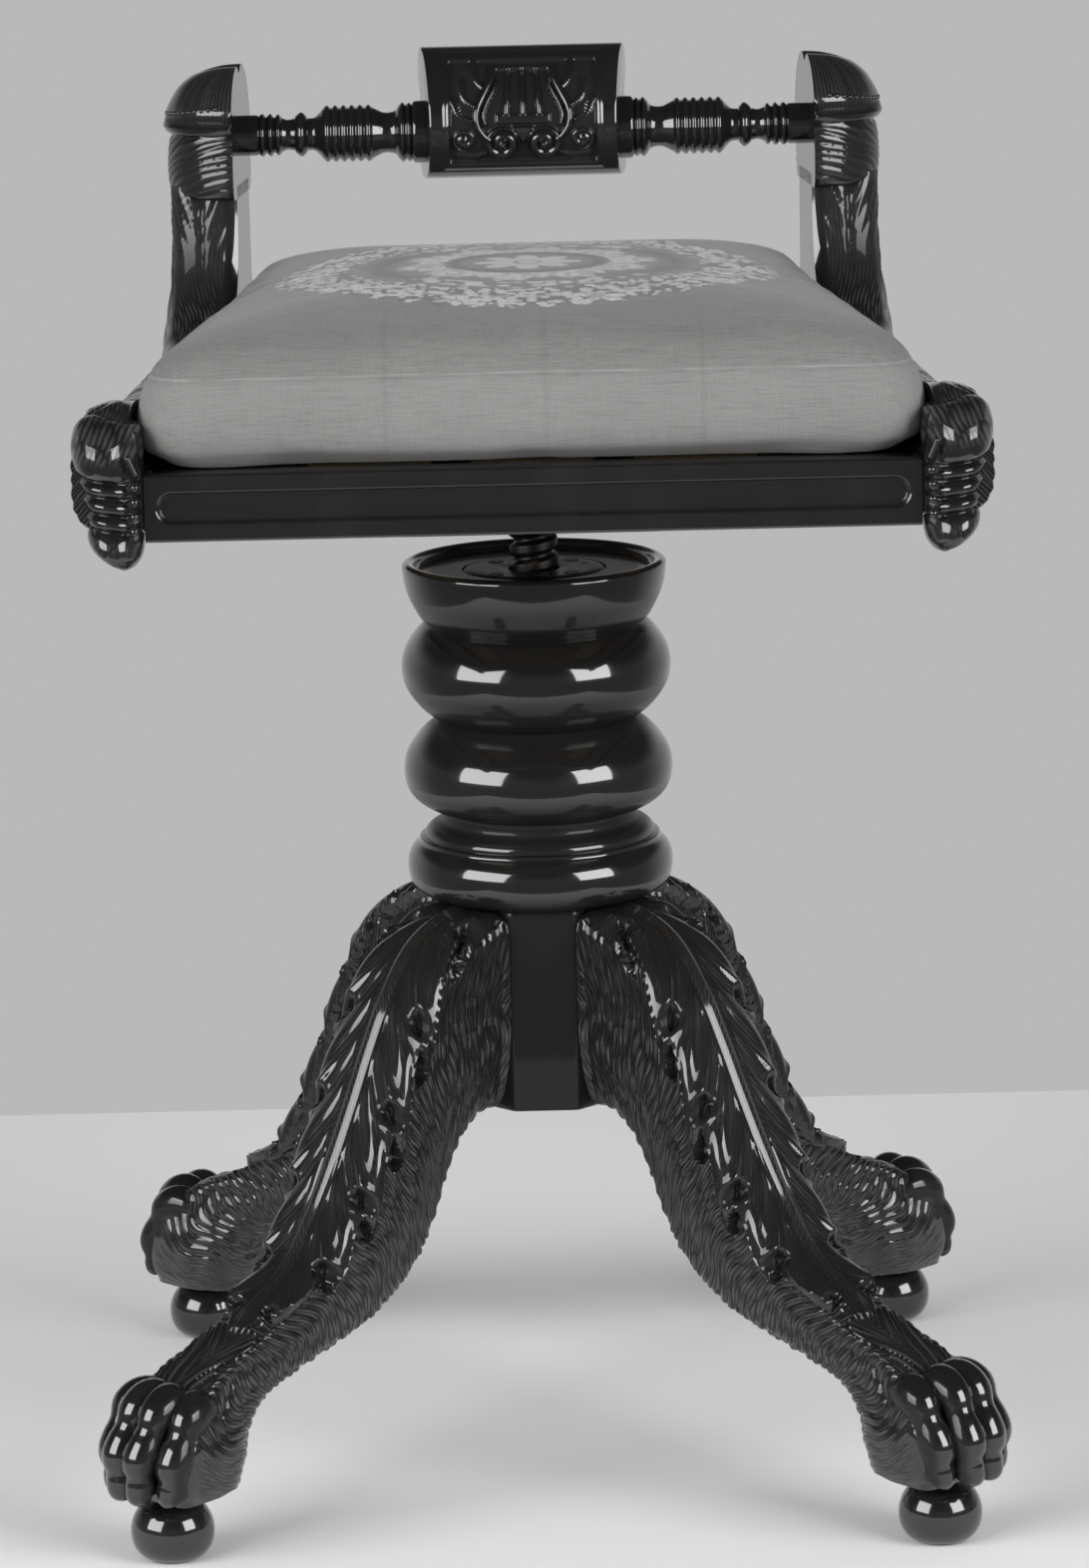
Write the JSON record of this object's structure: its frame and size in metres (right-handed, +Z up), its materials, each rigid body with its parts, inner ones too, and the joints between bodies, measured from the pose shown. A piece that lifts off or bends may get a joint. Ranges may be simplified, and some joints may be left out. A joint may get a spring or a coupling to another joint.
{
  "type": "revolving piano stool",
  "caption": "Carved wooden piano stool whose padded seat, with side arms and a low crest rail, revolves and rises on an iron screw in a turned column on paw-footed legs.",
  "frame": {"origin": "on the floor, under the axis of the column and the lifting screw", "axes": "+Z up along the column; the sitter faces -Y, where the seat is open; the crest rail is at +Y; +X is to the right of someone who looks at the stool's front from outside, along +Y"},
  "size_m": [0.3856, 0.3856, 0.5975],
  "materials": {
    "ebonised_wood": "ebonised and polished",
    "bare_wood": "bare, sawn",
    "dark_iron": "oiled dark iron",
    "webbing": "woven jute",
    "cover_fabric": "woven figured cloth with a leafy wreath"
  },
  "bodies": {
    "base": {"hub_block": "ebonised_wood", "leg_front_left": "ebonised_wood", "leg_front_right": "ebonised_wood", "leg_rear_left": "ebonised_wood", "leg_rear_right": "ebonised_wood", "ball_foot_front_left": "ebonised_wood", "ball_foot_front_right": "ebonised_wood", "ball_foot_rear_left": "ebonised_wood", "ball_foot_rear_right": "ebonised_wood", "turned_column": "ebonised_wood", "screw_nut": "dark_iron", "nut_screw_1": "dark_iron", "nut_screw_2": "dark_iron", "nut_screw_3": "dark_iron", "nut_screw_4": "dark_iron"},
    "riser": {"thrust_washer": "dark_iron"},
    "seat": {"lift_screw": "dark_iron", "seat_plate": "dark_iron", "plate_screw_1": "dark_iron", "plate_screw_2": "dark_iron", "plate_screw_3": "dark_iron", "plate_screw_4": "dark_iron", "cross_board": "bare_wood", "front_rail": "ebonised_wood", "rear_rail": "ebonised_wood", "side_arm_left": "ebonised_wood", "side_arm_right": "ebonised_wood", "corner_block_front_left": "bare_wood", "corner_block_front_right": "bare_wood", "corner_block_rear_left": "bare_wood", "corner_block_rear_right": "bare_wood", "slip_frame_front": "bare_wood", "slip_frame_rear": "bare_wood", "slip_frame_left": "bare_wood", "slip_frame_right": "bare_wood", "webbing_long_1": "webbing", "webbing_long_2": "webbing", "webbing_long_3": "webbing", "webbing_cross_1": "webbing", "webbing_cross_2": "webbing", "webbing_cross_3": "webbing", "seat_cushion": "cover_fabric", "crest_tablet": "ebonised_wood", "crest_spindle_left": "ebonised_wood", "crest_spindle_right": "ebonised_wood"}
  },
  "joints": [
    {"name": "seat_rise", "type": "slide", "parent": "base", "child": "riser", "axis": [0, 0, 1], "range_m": [-0.0361, 0.0801]},
    {"name": "seat_revolve", "type": "hinge", "parent": "riser", "child": "seat", "pos_m": [0, 0, 0.41], "axis": [0, 0, 1], "range_deg": [-1620, 3600]}
  ],
  "couplings": [
    {"joint": "seat_rise", "follows": "seat_revolve", "m_per_rad": 0.0012732}
  ]
}
